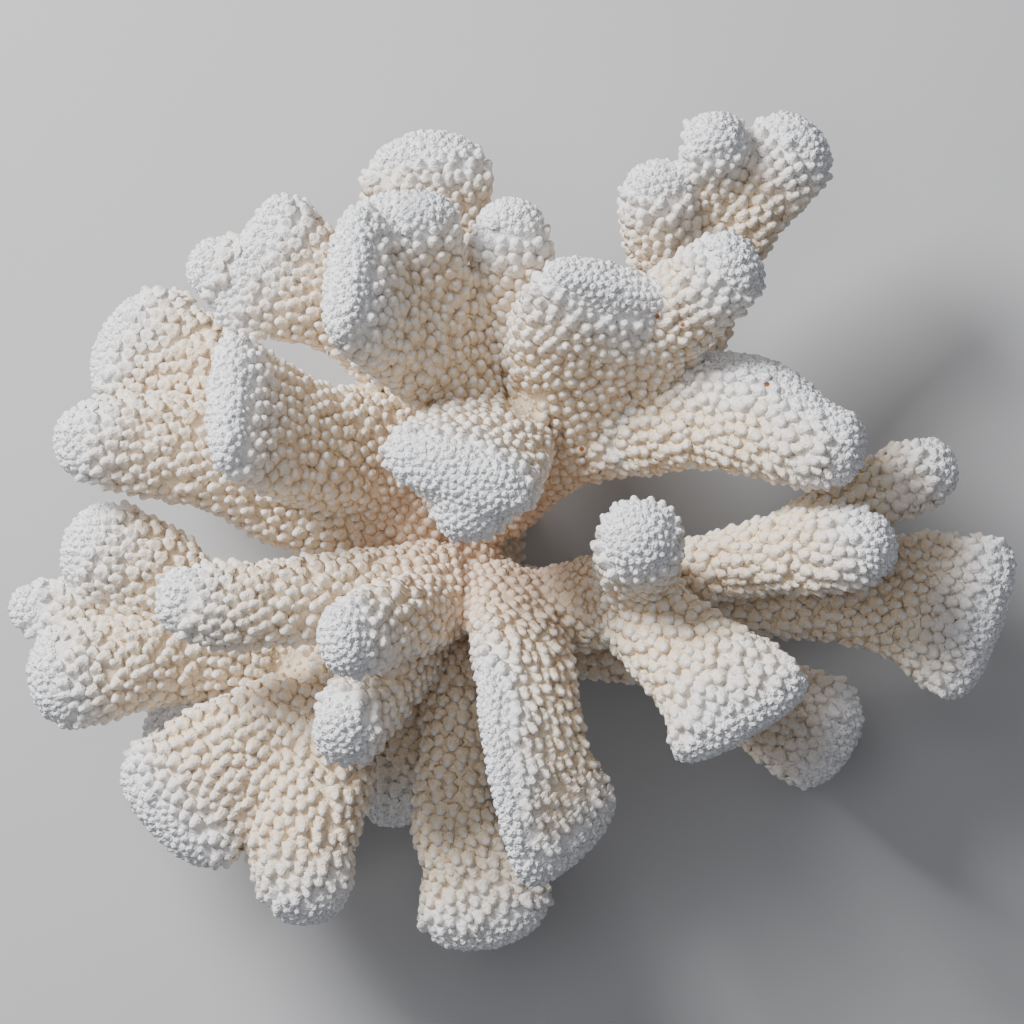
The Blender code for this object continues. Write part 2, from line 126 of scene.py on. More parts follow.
SOUTH_LIMBS = [
    ([(-4, -12, 38, 11, 11), (-4, -38, 46, 9.5, 9.5), (-4.5, -58, 50, 9.5, 9.5), (-5, -71, 51, 11.5, 9),
      (0, -81, 51, 14, 9.5), (3, -92.5, 51, 18.5, 9.5)], 0, 0, 13, 2.3),
    ([(7, -12, 54, 13, 10), (12.5, -28, 74, 15.5, 8), (14.5, -46, 86, 18, 6.8), (18.5, -62, 89, 20, 6.6),
      (23, -72.5, 86, 21.5, 7)], 0, -45, 9, 2.6, -1),
    ([(-6, -10, 36, 14, 13), (-18, -22, 44, 14, 12.5), (-30, -36, 52, 13.5, 12), (-38, -49, 58, 14, 12),
      (-40, -61, 62, 15, 12), (-43, -77, 64, 14.5, 11.5), (-41.5, -87.5, 64, 12.5, 11)], -20, 0, 11, 2.1),
    ([(-28, -38, 52, 12, 10.5), (-46, -46, 60, 13, 9.5), (-60, -55, 64, 17, 9), (-73, -66.5, 65, 20.5, 9)],
     110, 0, 12, 2.4),
    ([(-7, -15, 60, 12, 10), (-17, -19, 82, 11, 9), (-30.5, -24, 103, 11, 8.5)], 95, 0, 8, 2.5),
    ([(-14, -24, 54, 11, 10.5), (-26, -40, 76, 11.5, 10), (-31.5, -46.5, 87, 11.5, 9.5)], 75, 0, 9, 2),
    ([(-16, -26, 30, 10, 9), (-50, -44, 36, 10, 9), (-68, -50, 38, 10.5, 8.5), (-78, -50.5, 39, 11.5, 8)],
     90, 0, 8, 2.5),
    ([(-8, -22, 26, 11, 10), (-16, -42, 24, 10, 9.5), (-20, -56, 23, 9.5, 9), (-21, -68.5, 23, 9.5, 8.5)],
     0, 0, 8, 2),
]
WEST_LIMBS = [
    ([(0, 6, 34, 16, 13), (-20, 9, 46, 18, 13), (-44, 13, 54, 16.5, 11), (-62, 20, 62, 14, 10),
      (-80, 23.5, 68, 13.5, 9.5), (-92, 24.5, 71, 12, 9), (-98, 24.5, 72, 10.5, 8)], 96, 0, 8, 2.4),
    ([(-48, 20, 48, 11, 9), (-66, 37, 45, 15, 9), (-82.5, 47, 43, 19.5, 9)], 50, 0, 16, 2.1),
    ([(-16, 16, 44, 15, 12), (-26, 21, 54, 17.5, 12), (-38, 23, 66, 16.5, 10.5), (-49, 28, 82, 18.5, 8.5),
      (-59, 34, 98, 20.5, 7)], 99, 0, 7, 3),
    ([(-6, -11, 58, 13, 11), (-30, -14, 75, 12, 10), (-48, -15.5, 85, 11.5, 9), (-62, -16, 89, 11.5, 8.5),
      (-71.5, -14.5, 90, 10, 8)], 90, 0, 8, 2.4),
    ([(-8, -14, 38, 13, 12), (-34, -26, 45, 12, 11), (-56, -28.5, 50, 11.5, 10), (-76, -30, 56, 12, 10.5),
      (-88, -32, 62, 12.5, 11), (-102, -34.5, 66, 14, 10.5)], 90, 0, 11, 2.1),
    ([(-62, -24, 54, 10, 10), (-79, -9.5, 58, 13, 10), (-94, -2, 60, 14, 10)], 55, 0, 11, 2),
    ([(-72, -24, 54, 10, 9.5), (-88, -19, 54, 8.5, 8.5), (-102, -18, 55, 8.5, 8),
      (-111, -17.5, 56, 8.5, 8)], 90, 0, 8, 2),
]
LIMBS = FOOT_LIMBS + NORTH_LIMBS + EAST_LIMBS + SOUTH_LIMBS + WEST_LIMBS

PIECE_GROUPS = {
    "foot": ["foot"],
    "north": ["north_west_fan", "north_blade", "north_lobe", "crown_ridge", "north_finger"],
    "east": ["north_east_plate", "east_finger", "far_fork", "east_bough", "east_fan", "east_arm",
             "outer_east_fan", "low_east_lobe"],
    "south": ["south_finger", "south_blade", "south_west_bough", "inner_knob", "inner_lobe",
              "low_south_west_lobe", "low_south_stub"],
    "west": ["west_bough", "west_finger", "far_west_bough"],
}


class CoralSettings(bpy.types.PropertyGroup):
    """Sizes and colours that a user would change."""

    skin_inset: bpy.props.FloatProperty(
        name="Skin inset", description="How far the skin lies inside the wart tips",
        default=1.8 * MM, unit="LENGTH")
    skin_grid: bpy.props.FloatProperty(
        name="Skin grid", description="Grid on which the limbs are grown together",
        default=1.8 * MM, unit="LENGTH")
    fork_smoothing: bpy.props.IntProperty(
        name="Fork smoothing", description="Passes that round the crotches between limbs", default=9)
    wart_spacing: bpy.props.FloatProperty(
        name="Wart spacing", description="Least distance between two warts on a limb's side",
        default=2.6 * MM, unit="LENGTH")
    ridge_spacing: bpy.props.FloatProperty(
        name="Ridge wart spacing", description="Least distance between the small warts on a ridge",
        default=1.55 * MM, unit="LENGTH")
    root_spacing: bpy.props.FloatProperty(
        name="Root wart spacing", description="Least distance between the low warts near the trunk",
        default=2.3 * MM, unit="LENGTH")
    ridge_depth: bpy.props.FloatProperty(
        name="Ridge depth", description="How far down from a limb's tip the small warts reach",
        default=6.5 * MM, unit="LENGTH")
    lean: bpy.props.FloatProperty(
        name="Wart lean", description="How much the warts lean towards their limb's tip", default=0.8)
    head_white: bpy.props.FloatVectorProperty(
        name="Head white", description="Colour of wart heads and ridges", subtype="COLOR",
        default=(0.865, 0.885, 0.93))
    # The cream between the warts, painted lighter than the skeleton's own cream to stand in for light shining
    # through it into the valleys
    lit_valley_cream: bpy.props.FloatVectorProperty(
        name="Valley cream", description="Colour between the warts", subtype="COLOR",
        default=(0.875, 0.73, 0.55))
    root_peach: bpy.props.FloatVectorProperty(
        name="Root peach", description="Colour of the oldest parts near the trunk", subtype="COLOR",
        default=(0.80, 0.61, 0.45))


def settings():
    return bpy.context.scene.coral


def deselect_all():
    bpy.ops.object.select_all(action="DESELECT")


def make_active(obj):
    deselect_all()
    obj.select_set(True)
    bpy.context.view_layer.objects.active = obj


def apply_modifiers(obj):
    make_active(obj)
    for modifier in list(obj.modifiers):
        bpy.ops.object.modifier_apply(modifier=modifier.name)


def spline(stations, t):
    """The station at t, from 0 to the last index, on a smooth curve through all of them."""
    i = min(int(t), len(stations) - 2)
    f = t - i
    a, b, c, d = (stations[min(max(k, 0), len(stations) - 1)] for k in (i - 1, i, i + 1, i + 2))
    return [
        0.5 * (2 * q + (r - p) * f + (2 * p - 5 * q + 4 * r - s) * f * f + (3 * q - p - 3 * r + s) * f**3)
        for p, q, r, s in zip(a, b, c, d)
    ]


RING_STEP = 3.0
RING_POINTS = 20
SECTION_POWER = 2.3
CREST_SHARE = 1.15
BURIED_DEPTH = 60.0  # a buried tip counts as this far down from a real one
CREST_REACH = 44.0  # further than this from the tip a crest fades out
TIP_FRACTIONS = (0.3, 0.55, 0.75, 0.88, 0.96, 0.995)


def limb_sections(stations, cap, blunt):
    """Sections as (centre, heading, half width, half thickness), root to tip, in millimetres."""
    samples = []
    for i in range(len(stations) - 1):
        length = (Vector(stations[i + 1][:3]) - Vector(stations[i][:3])).length
        count = max(2, round(length / RING_STEP))
        samples += [spline(stations, i + k / count) for k in range(count)]
    samples.append(list(stations[-1]))
    inset = settings().skin_inset / MM
    sections = []
    for i, sample in enumerate(samples):
        before, after = samples[max(i - 1, 0)], samples[min(i + 1, len(samples) - 1)]
        heading = (Vector(after[:3]) - Vector(before[:3])).normalized()
        sections.append((Vector(sample[:3]), heading, sample[3] - inset, sample[4] - inset))
    centre, heading, width, thickness = sections[-1]
    for t in TIP_FRACTIONS:
        shrink = (1 - t**blunt) ** (1 / blunt)
        tip = centre + heading * ((cap - inset) * t)
        sections.append((tip, heading, width * shrink, thickness * shrink))
    return sections


def section_axes(compass, lift, heading):
    """The unit vectors along the limb's wide side and its thin side, square to its heading."""
    a, b = math.radians(compass), math.radians(lift)
    side = Vector((math.cos(a) * math.cos(b), math.sin(a) * math.cos(b), math.sin(b)))
    wide = (side - heading * side.dot(heading)).normalized()
    return wide, heading.cross(wide)


def squared(value):
    """A circle's coordinate moved outwards a little, so that a section is slightly square."""
    return math.copysign(abs(value) ** (2 / SECTION_POWER), value)


def shape_limb(index, limb):
    """A limb as one closed tube: a sphere whose rings are laid along the limb, root to tip."""
    stations, compass, lift, cap, blunt = limb[:5]
    crest = limb[5] if len(limb) > 5 else 0
    sections = limb_sections(stations, cap, blunt)
    last = len(sections) - 1
    deselect_all()
    bpy.ops.mesh.primitive_uv_sphere_add(segments=RING_POINTS, ring_count=len(sections) + 1, radius=1)
    tube = bpy.context.object
    tube.name = "limb_%02d" % index
    left = [0.0] * len(sections)
    for k in range(last - 1, -1, -1):
        left[k] = left[k + 1] + (sections[k + 1][0] - sections[k][0]).length * MM
    if crest == BURIED:
        left = [way + BURIED_DEPTH * MM for way in left]
    to_tip = tube.data.attributes.new("to_tip", "FLOAT", "POINT")
    course = tube.data.attributes.new("heading", "FLOAT_VECTOR", "POINT")
    shift = Vector((SHIFT_X, 0, 0))
    for i, vertex in enumerate(tube.data.vertices):
        ring = round(math.acos(max(-1, min(1, -vertex.co.z))) * (len(sections) + 1) / math.pi)
        k = min(max(ring - 1, 0), last)
        centre, heading, width, thickness = sections[k]
        place = centre + shift
        if 0 < ring <= len(sections):
            wide, thin = section_axes(compass, lift, heading)
            across = Vector((vertex.co.x, vertex.co.y)).normalized()
            place = place + wide * (squared(across.x) * width) + thin * (squared(across.y) * thickness)
        vertex.co = place * MM
        to_tip.data[i].value = left[k]
        if crest in (-1, 1) and 0 < ring <= len(sections):
            to_edge = (1 - crest * across.x) * width * CREST_SHARE * MM
            to_tip.data[i].value = min(left[k], to_edge + max(0, left[k] - CREST_REACH * MM))
        course.data[i].vector = heading
    bpy.ops.object.mode_set(mode="EDIT")
    bpy.ops.mesh.select_all(action="SELECT")
    bpy.ops.mesh.normals_make_consistent(inside=False)
    bpy.ops.object.mode_set(mode="OBJECT")
    return tube


def copy_marks(skin, guide):
    """Gives each skin point the marks of the nearest point on the limbs it was grown from."""
    mesh = guide.data
    tree = BVHTree.FromPolygons([v.co for v in mesh.vertices], [p.vertices for p in mesh.polygons])
    corners = [tuple(p.vertices) for p in mesh.polygons]
    way, course = mesh.attributes["to_tip"].data, mesh.attributes["heading"].data
    to_tip = skin.data.attributes.new("to_tip", "FLOAT", "POINT")
    heading = skin.data.attributes.new("heading", "FLOAT_VECTOR", "POINT")
    for i, vertex in enumerate(skin.data.vertices):
        place, _, face, _ = tree.find_nearest(vertex.co)
        near = sorted(corners[face], key=lambda c: (mesh.vertices[c].co - place).length)[:3]
        weights = [1 / ((mesh.vertices[c].co - place).length + 1e-5) for c in near]
        total = sum(weights)
        to_tip.data[i].value = sum(w * way[c].value for w, c in zip(weights, near)) / total
        heading.data[i].vector = course[near[0]].vector


def nearest_nodes(skin):
    """For each skin face, the CAD node that it lies on."""
    points, faces, owners = [], [], []
    for name, node in frame["nodes"].items():
        start = len(points)
        points += [v.co for v in node.data.vertices]
        faces += [tuple(start + v for v in p.vertices) for p in node.data.polygons]
        owners += [name] * len(node.data.polygons)
    tree = BVHTree.FromPolygons(points, faces)
    return [owners[tree.find_nearest(p.center)[2]] for p in skin.data.polygons]


class CORAL_OT_skin(bpy.types.Operator):
    """Lofts every limb and grows them together into one smooth skin"""

    bl_idname = "coral.skin"
    bl_label = "Grow the limbs together"

    def execute(self, context):
        tubes = [shape_limb(i, limb) for i, limb in enumerate(LIMBS)]
        deselect_all()
        for tube in tubes:
            tube.select_set(True)
        context.view_layer.objects.active = tubes[0]
        bpy.ops.object.join()
        guide = context.object
        guide.name = "limb_guide"
        bpy.ops.object.duplicate()
        skin = context.object
        skin.name = "coral_skin"
        fuse = skin.modifiers.new("fuse", "REMESH")
        fuse.mode = "VOXEL"
        fuse.voxel_size = settings().skin_grid
        fillet = skin.modifiers.new("fillet", "SMOOTH")
        fillet.factor = 0.5
        fillet.iterations = settings().fork_smoothing
        apply_modifiers(skin)
        bpy.ops.object.mode_set(mode="EDIT")
        bpy.ops.mesh.select_all(action="SELECT")
        bpy.ops.mesh.bisect(plane_co=(0, 0, 0), plane_no=(0, 0, 1), use_fill=True, clear_inner=True)
        bpy.ops.object.mode_set(mode="OBJECT")
        for name in [a.name for a in skin.data.attributes if a.name in ("to_tip", "heading")]:
            skin.data.attributes.remove(skin.data.attributes[name])
        copy_marks(skin, guide)
        bpy.data.objects.remove(guide)
        return {"FINISHED"}


# Half profiles of the warts, as (radius, height) from the tip down, in shares of their size
FINGER = ((0, 1), (0.60, 0.87), (0.90, 0.56), (1.28, 0.2), (2.0, -0.08), (0, -0.2))
UNDER_FINGER = ((0, 1), (0.70, 0.76), (1.15, 0.24), (1.9, -0.08), (0, -0.2))
CRUST_GRAIN = ((0, 1), (0.62, 0.80), (1.05, 0.2), (1.5, -0.5), (0, -0.9))
LOW_WART = ((0, 1), (0.62, 0.78), (1.02, 0.28), (1.6, -0.2), (0, -0.5))


def wart_model(name, segments, profile, radius, height):
    """One wart, standing on the origin: a sphere drawn to a rounded finger with a flared foot."""
    deselect_all()
    rings = len(profile) - 1
    bpy.ops.mesh.primitive_uv_sphere_add(segments=segments, ring_count=rings, radius=1)
    wart = bpy.context.object
    wart.name = name
    rise = wart.data.attributes.new("rise", "FLOAT", "POINT")
    for i, vertex in enumerate(wart.data.vertices):
        ring = round(math.acos(max(-1, min(1, vertex.co.z))) * rings / math.pi)
        share, level = profile[ring]
        across = Vector((vertex.co.x, vertex.co.y))
        across = across.normalized() if 0 < ring < rings else across * 0
        vertex.co = (across.x * share * radius, across.y * share * radius, level * height)
        rise.data[i].value = min(1, max(0, level))
    bpy.ops.object.shade_smooth()
    wart.hide_render = True
    wart.hide_viewport = True
    return wart


class CORAL_OT_warts(bpy.types.Operator):
    """Models the four kinds of wart that are set all over the skin"""

    bl_idname = "coral.warts"
    bl_label = "Model the warts"

    def execute(self, context):
        wart_model("side_wart", 7, FINGER, 1.27 * MM, 2.4 * MM)
        wart_model("under_wart", 5, UNDER_FINGER, 1.35 * MM, 2.2 * MM)
        wart_model("ridge_wart", 7, CRUST_GRAIN, 0.92 * MM, 0.72 * MM)
        wart_model("root_wart", 7, LOW_WART, 1.2 * MM, 1.35 * MM)
        return {"FINISHED"}


class Nodes:
    """Builds a node tree with short calls."""

    def __init__(self, tree):
        self.tree = tree

    def add(self, kind, inputs=None, **values):
        node = self.tree.nodes.new(kind)
        for key, value in values.items():
            setattr(node, key, value)
        for key, value in (inputs or {}).items():
            socket = node.inputs[key]
            if isinstance(value, bpy.types.NodeSocket):
                self.tree.links.new(value, socket)
            else:
                socket.default_value = value
        return node

    def math(self, operation, a, b=0.0, c=None, clamp=False):
        inputs = {0: a, 1: b}
        if c is not None:
            inputs[2] = c
        return self.add("ShaderNodeMath", inputs, operation=operation, use_clamp=clamp).outputs[0]

    def vector(self, operation, a, b=(0, 0, 0)):
        return self.add("ShaderNodeVectorMath", {0: a, 1: b}, operation=operation).outputs[0]

    def scaled(self, a, factor):
        node = self.add("ShaderNodeVectorMath", {0: a}, operation="SCALE")
        if isinstance(factor, bpy.types.NodeSocket):
            self.tree.links.new(factor, node.inputs["Scale"])
        else:
            node.inputs["Scale"].default_value = factor
        return node.outputs[0]

    def ramp(self, value, low, high, start=0.0, end=1.0):
        """Smooth change from start to end while value goes from low to high."""
        node = self.add(
            "ShaderNodeMapRange", {0: value, 1: low, 2: high, 3: start, 4: end},
            interpolation_type="SMOOTHSTEP")
        return node.outputs[0]


def attribute(nodes, name, kind):
    return nodes.add("GeometryNodeInputNamedAttribute", {"Name": name}, data_type=kind).outputs[0]


FORK_CENTRE = (SHIFT_X * MM, 0.0, 45 * MM)  # the oldest part of the colony
SMOOTH_PATCHES = ((24.6 * MM, 33.5 * MM), (-34 * MM, -31 * MM))  # places seen from above
PATCH_RADIUS = 3.8 * MM
RIDGE_LEAN = 0.15  # crust grains stand almost straight up
ROOT_LEAN = 0.5


def root_nearness(nodes, position):
    """1 at the main forks, 0 out on the limbs."""
    flat = nodes.vector("MULTIPLY", nodes.vector("SUBTRACT", position, FORK_CENTRE), (1, 1, 0.75))
    length = nodes.add("ShaderNodeVectorMath", {0: flat}, operation="LENGTH").outputs["Value"]
    return nodes.ramp(length, 16 * MM, 46 * MM, 1.0, 0.0)


def spot(nodes, position, place, radius):
    """1 within the radius of a place seen from above, falling softly to 0 at half as far again."""
    flat = nodes.vector("MULTIPLY", nodes.vector("SUBTRACT", position, (*place, 0.0)), (1, 1, 0))
    length = nodes.add("ShaderNodeVectorMath", {0: flat}, operation="LENGTH").outputs["Value"]
    return nodes.ramp(length, radius, radius * 1.5, 1.0, 0.0)


def bare_patches(nodes, position):
    """1 on the two smooth, finely grained patches at the main forks."""
    north, west = (spot(nodes, position, place, PATCH_RADIUS) for place in SMOOTH_PATCHES)
    return nodes.math("ADD", north, west, clamp=True)


def wart_cover():
    """The Geometry Nodes group that covers a piece of skin with its warts."""
    found = bpy.data.node_groups.get("wart_cover")
    if found:
        return found
    values = settings()
    tree = bpy.data.node_groups.new("wart_cover", "GeometryNodeTree")
    tree.interface.new_socket("Geometry", in_out="INPUT", socket_type="NodeSocketGeometry")
    tree.interface.new_socket("Seed", in_out="INPUT", socket_type="NodeSocketInt")
    tree.interface.new_socket("Geometry", in_out="OUTPUT", socket_type="NodeSocketGeometry")
    nodes = Nodes(tree)
    start = tree.nodes.new("NodeGroupInput")
    skin, seed = start.outputs[0], start.outputs[1]
    position = tree.nodes.new("GeometryNodeInputPosition").outputs[0]
    open_skin = nodes.math("LESS_THAN", attribute(nodes, "sealed", "FLOAT"), 0.5)
    rough = nodes.add("ShaderNodeTexNoise", {"Scale": 110.0, "Detail": 1.0}).outputs[0]
    rough = nodes.math("MULTIPLY_ADD", rough, 6 * MM, -3 * MM)
    to_tip = nodes.math("ADD", attribute(nodes, "to_tip", "FLOAT"), rough)
    ridge = nodes.math("LESS_THAN", to_tip, values.ridge_depth)
    near_root = root_nearness(nodes, position)
    patch = nodes.add("ShaderNodeTexNoise", {"Scale": 60.0, "Detail": 1.0}).outputs[0]
    patch = nodes.math("MULTIPLY_ADD", patch, 0.6, -0.3)
    bare = bare_patches(nodes, position)
    aged = nodes.math("ADD", nodes.math("ADD", near_root, patch), nodes.math("MULTIPLY", bare, 2.0))
    root = nodes.math("GREATER_THAN", aged, 0.5)
    root_size = nodes.math("MULTIPLY_ADD", bare, -0.5, 1.0)
    not_ridge = nodes.math("SUBTRACT", 1.0, ridge)
    ridge_area = nodes.math("MULTIPLY", open_skin, ridge)
    root_area = nodes.math("MULTIPLY", nodes.math("MULTIPLY", open_skin, not_ridge), root)
    not_root = nodes.math("SUBTRACT", 1.0, root)
    side_area = nodes.math("MULTIPLY", nodes.math("MULTIPLY", open_skin, not_ridge), not_root)
    normal = tree.nodes.new("GeometryNodeInputNormal").outputs[0]
    lift = nodes.add("ShaderNodeSeparateXYZ", {0: normal}).outputs["Z"]
    under = nodes.math("LESS_THAN", lift, -0.35)
    under_area = nodes.math("MULTIPLY", side_area, under)
    side_area = nodes.math("MULTIPLY", side_area, nodes.math("SUBTRACT", 1.0, under))
    side_size = nodes.math(
        "MULTIPLY", nodes.ramp(attribute(nodes, "to_tip", "FLOAT"), 3 * MM, 12 * MM, 0.78, 1.0),
        nodes.ramp(near_root, 0.0, 0.6, 1.0, 0.8))
    seed_b = nodes.math("ADD", seed, 31.0)
    seed_c = nodes.math("ADD", seed, 67.0)
    seed_d = nodes.math("ADD", seed, 83.0)
    spacing, lean = values.wart_spacing, values.lean
    layers = [
        scatter_warts(nodes, skin, "under_wart", spacing, under_area, side_size, lean, seed_d),
        scatter_warts(nodes, skin, "side_wart", spacing, side_area, side_size, lean, seed),
        scatter_warts(nodes, skin, "ridge_wart", values.ridge_spacing, ridge_area, 1.0, RIDGE_LEAN, seed_b),
        scatter_warts(nodes, skin, "root_wart", values.root_spacing, root_area, root_size, ROOT_LEAN, seed_c),
    ]
    join = tree.nodes.new("GeometryNodeJoinGeometry")
    for layer in layers:
        tree.links.new(layer, join.inputs[0])
    tree.links.new(skin, join.inputs[0])
    # Whatever reaches below the flat cut is pressed up to it
    parts = nodes.add("ShaderNodeSeparateXYZ", {0: position})
    above = nodes.math("MAXIMUM", parts.outputs["Z"], 0.0)
    place = nodes.add(
        "ShaderNodeCombineXYZ", {0: parts.outputs["X"], 1: parts.outputs["Y"], 2: above}).outputs[0]
    sawn = nodes.add("GeometryNodeSetPosition", {"Geometry": join.outputs[0], "Position": place}).outputs[0]
    end = tree.nodes.new("NodeGroupOutput")
    tree.links.new(sawn, end.inputs[0])
    return tree


def scatter_warts(nodes, skin, wart, spacing, wanted, size, lean, seed):
    """Scatters one kind of wart over the chosen part of the skin and returns its mesh."""
    scatter = nodes.add(
        "GeometryNodeDistributePointsOnFaces",
        {"Mesh": skin, "Selection": wanted, "Distance Min": spacing, "Density Max": 4 / spacing**2,
         "Density Factor": 1.0, "Seed": seed}, distribute_method="POISSON")
    heading = attribute(nodes, "heading", "FLOAT_VECTOR")
    noise = nodes.add("ShaderNodeTexNoise", {"Scale": 140.0, "Detail": 1.0}, noise_dimensions="3D")
    wobble = nodes.scaled(nodes.vector("SUBTRACT", noise.outputs["Color"], (0.5, 0.5, 0.5)), 0.55)
    # The normal is only known while scattering, so it is kept on the points
    kept = nodes.add(
        "GeometryNodeStoreNamedAttribute",
        {"Geometry": scatter.outputs["Points"], "Name": "skin_normal", "Value": scatter.outputs["Normal"]},
        data_type="FLOAT_VECTOR", domain="POINT")
    outwards = attribute(nodes, "skin_normal", "FLOAT_VECTOR")
    growth = nodes.vector("ADD", outwards, nodes.scaled(heading, lean))
    growth = nodes.vector("ADD", growth, wobble)
    turn = nodes.add("FunctionNodeAlignRotationToVector", {"Vector": growth}, axis="Z").outputs[0]
    spin = nodes.add("FunctionNodeRandomValue", {2: 0.0, 3: 6.283}, data_type="FLOAT").outputs[1]
    spun = nodes.add("FunctionNodeAxisAngleToRotation", {"Axis": (0, 0, 1), "Angle": spin}).outputs[0]
    turn = nodes.add("FunctionNodeRotateRotation", {0: turn, 1: spun}, rotation_space="LOCAL").outputs[0]
    vary = nodes.add(
        "FunctionNodeRandomValue", {2: 0.82, 3: 1.16, "Seed": 9}, data_type="FLOAT").outputs[1]
    stretch = nodes.add(
        "FunctionNodeRandomValue", {2: 0.8, 3: 1.25, "Seed": 13}, data_type="FLOAT").outputs[1]
    scale = nodes.math("MULTIPLY", vary, size)
    tall = nodes.math("MULTIPLY", scale, stretch)
    scale = nodes.add("ShaderNodeCombineXYZ", {0: scale, 1: scale, 2: tall}).outputs[0]
    model = nodes.add("GeometryNodeObjectInfo", {"Object": bpy.data.objects[wart]})
    placed = nodes.add(
        "GeometryNodeInstanceOnPoints",
        {"Points": kept.outputs[0], "Instance": model.outputs["Geometry"],
         "Rotation": turn, "Scale": scale})
    return nodes.add("GeometryNodeRealizeInstances", {0: placed.outputs[0]}).outputs[0]


# Painted shade: the dark colour mixed into the pits of the pores
PAINTED_PORE_SHADE = (0.30, 0.26, 0.22, 1)
SOOT = (0.12, 0.11, 0.10)
RUST = (0.26, 0.075, 0.012)
DUST = (0.42, 0.42, 0.44)
# Specks and a patch of dirt seen from above: place in metres, radius in millimetres, strength, colour
STAINS = (
    ((0.0395, 0.0228), 0.5, 1.0, RUST),
    ((0.0577, 0.0552), 0.45, 1.0, RUST),
    ((0.0640, 0.0530), 0.45, 0.9, RUST),
    ((0.0850, 0.0385), 0.5, 1.0, RUST),
    ((-0.0215, 0.0720), 0.35, 0.7, SOOT),
    ((-0.0015, 0.0835), 3.6, 0.35, DUST),
)


def coral_finish():
    """Bleached skeleton: white heads and ridges, cream valleys, peach roots, all finely pored. The pits of
    the pores are darkened with painted shade, and the valley cream is painted lighter to stand in for light
    shining through the skeleton.
    """
    found = bpy.data.materials.get("coral_skeleton")
    if found:
        return found
    values = settings()
    material = bpy.data.materials.new("coral_skeleton")
    material.use_nodes = True
    tree = material.node_tree
    shader = tree.nodes["Principled BSDF"]
    nodes = Nodes(tree)
    place = nodes.add("ShaderNodeTexCoord").outputs["Object"]
    rise = nodes.add("ShaderNodeAttribute", attribute_name="rise").outputs["Fac"]
    to_tip = nodes.add("ShaderNodeAttribute", attribute_name="to_tip").outputs["Fac"]
    drift = nodes.add("ShaderNodeTexNoise", {"Vector": place, "Scale": 75.0, "Detail": 1.0}).outputs[0]
    grain = nodes.add("ShaderNodeTexNoise", {"Vector": place, "Scale": 1700.0, "Detail": 0.0}).outputs[0]
    near_root = root_nearness(nodes, place)
    near_root = nodes.math("ADD", near_root, nodes.math("MULTIPLY_ADD", drift, 0.8, -0.4), clamp=True)
    tip = nodes.ramp(nodes.math("ADD", to_tip, nodes.math("MULTIPLY_ADD", drift, 12 * MM, -6 * MM)),
                     2 * MM, 25 * MM, 1.0, 0.0)
    # Valley colour: cream, painted lighter to stand in for light shining through the skeleton, turning to
    # peach near the forks
    valley = nodes.add(
        "ShaderNodeMix",
        {"Factor": near_root, "A": (*values.lit_valley_cream, 1), "B": (*values.root_peach, 1)},
        data_type="RGBA").outputs[2]
    white = nodes.ramp(rise, 0.3, 1.05)
    white = nodes.math("MULTIPLY", white, nodes.ramp(near_root, 0.0, 1.0, 0.62, 0.25))
    white = nodes.math("MAXIMUM", white, nodes.math("MULTIPLY", tip, 0.9))
    white = nodes.math("ADD", white, nodes.math("MULTIPLY_ADD", grain, 0.3, -0.15), clamp=True)
    mix = nodes.add("ShaderNodeMix", {"Factor": white}, data_type="RGBA")
    tree.links.new(valley, mix.inputs[6])
    mix.inputs[7].default_value = (*values.head_white, 1)
    pores = nodes.add(
        "ShaderNodeTexVoronoi", {"Vector": place, "Scale": 1250.0}, feature="F1").outputs["Distance"]
    pits = nodes.ramp(pores, 0.15, 0.6)
    crust = nodes.ramp(to_tip, 4 * MM, 9 * MM, 1.0, 0.35)
    # Painted shade in the pits of the pores, strongest on the crust near the tips
    shade = nodes.math("MULTIPLY", nodes.math("SUBTRACT", 1.0, pits), nodes.math("MULTIPLY", crust, 0.22))
    dark = nodes.add("ShaderNodeMix", {"Factor": shade}, data_type="RGBA")
    tree.links.new(mix.outputs[2], dark.inputs[6])
    dark.inputs[7].default_value = PAINTED_PORE_SHADE
    colour = dark.outputs[2]
    for where, radius, share, stain in STAINS:
        amount = nodes.math("MULTIPLY", spot(nodes, place, where, radius * MM), share)
        stained = nodes.add("ShaderNodeMix", {"Factor": amount}, data_type="RGBA")
        tree.links.new(colour, stained.inputs[6])
        stained.inputs[7].default_value = (*stain, 1)
        colour = stained.outputs[2]
    tree.links.new(colour, shader.inputs["Base Color"])
    shader.inputs["Roughness"].default_value = 0.8
    shader.inputs["Specular IOR Level"].default_value = 0.3
    relief = nodes.math("MULTIPLY_ADD", grain, 0.35, nodes.math("MULTIPLY", pits, crust))
    bump = nodes.add("ShaderNodeBump", {"Strength": 0.8, "Distance": 0.0004, "Height": relief})
    tree.links.new(bump.outputs[0], shader.inputs["Normal"])
    return material


def cut_from_skin(name):
    """The part of the skin that lies on a CAD node, as its own closed object."""
    skin = bpy.data.objects["coral_skin"]
    owner = skin.data.attributes["owner"].data
    wanted = NODE_ORDER.index(name)
    deselect_all()
    skin.select_set(True)
    bpy.context.view_layer.objects.active = skin
    bpy.ops.object.duplicate()
    piece = bpy.context.object
    piece.name = name + "_skin"
    for face in piece.data.polygons:
        face.select = owner[face.index].value != wanted
    bpy.ops.object.mode_set(mode="EDIT")
    bpy.ops.mesh.select_mode(type="FACE")
    bpy.ops.mesh.delete(type="FACE")
    bpy.ops.object.mode_set(mode="OBJECT")
    return piece


NODE_ORDER = sorted(frame["nodes"])


